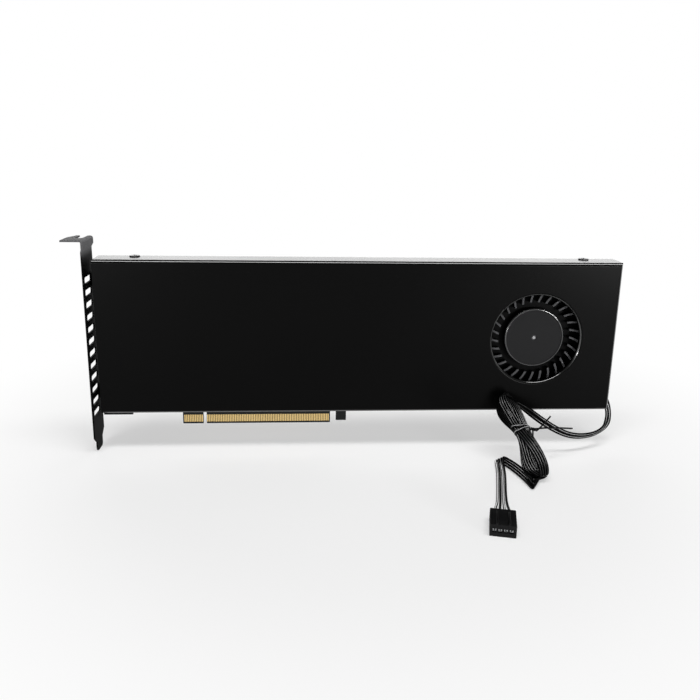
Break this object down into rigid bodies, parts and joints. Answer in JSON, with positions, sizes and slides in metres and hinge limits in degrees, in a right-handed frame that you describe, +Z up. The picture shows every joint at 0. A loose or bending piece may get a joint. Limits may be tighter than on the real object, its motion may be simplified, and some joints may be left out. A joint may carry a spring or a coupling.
{
  "type": "drive adapter card",
  "caption": "Full-height expansion card that carries solid-state drives under a black folded cover with a blower, a vented bracket, an edge connector and a tied fan lead.",
  "frame": {"origin": "centre of the edge tongue's key notch, on the tongue's lower edge, in the board's mid-plane", "axes": "+X along the card away from the bracket, +Y from the component side through the board to its back, +Z up, out of the slot"},
  "size_m": [0.3119, 0.1183, 0.12],
  "materials": {
    "black_sheet": "satin black paint",
    "black_bracket": "satin black plating",
    "black_board": "black solder mask",
    "gold": "hard gold plating",
    "black_screw": "black oxide",
    "steel": "bright steel",
    "blower_plastic": "moulded, fine texture",
    "bronze": "sintered",
    "copper": "enamelled wire",
    "ferrite": "pressed",
    "socket_plastic": "moulded",
    "chip_black": "moulded package",
    "pad_grey": "soft pad",
    "sink_metal": "black anodised",
    "can_metal": "bright",
    "lead_black": "glossy insulation",
    "tie_black": "plastic-coated wire",
    "plug_black": "moulded",
    "tin": "tinned"
  },
  "bodies": {
    "card": {"shroud": "black_sheet", "back_plate": "black_sheet", "bracket": "black_bracket", "circuit_board": "black_board", "fan_driver_board": "black_board", "edge_contacts_front": "gold", "edge_contacts_back": "gold", "cover_screws": "black_screw", "back_screws": "black_screw", "fan_screws": "black_screw", "bracket_screws": "black_screw", "shroud_standoffs": "steel", "back_spacers": "steel", "drive_standoffs": "steel", "drive_screws": "steel", "stator_core": "steel", "fan_frame": "blower_plastic", "fan_bearing": "bronze", "stator_coils": "copper", "power_inductors": "ferrite", "drive_sockets": "socket_plastic", "switch_chip": "chip_black", "thermal_pad": "pad_grey", "heat_sink": "sink_metal", "power_capacitors": "can_metal", "lead_inner": "lead_black", "fan_lead": "lead_black", "lead_hank": "lead_black", "lead_tail": "lead_black", "lead_tie": "tie_black", "fan_plug": "plug_black", "plug_contacts": "tin"},
    "rotor": {"impeller": "blower_plastic", "rotor_cup": "steel", "rotor_magnet": "ferrite", "fan_shaft": "steel", "shaft_clip": "steel"}
  },
  "joints": [
    {"name": "fan_spin", "type": "hinge", "parent": "card", "child": "rotor", "pos_m": [0.1889, -0.005, 0.0536], "axis": [0, 1, 0], "continuous": true}
  ]
}
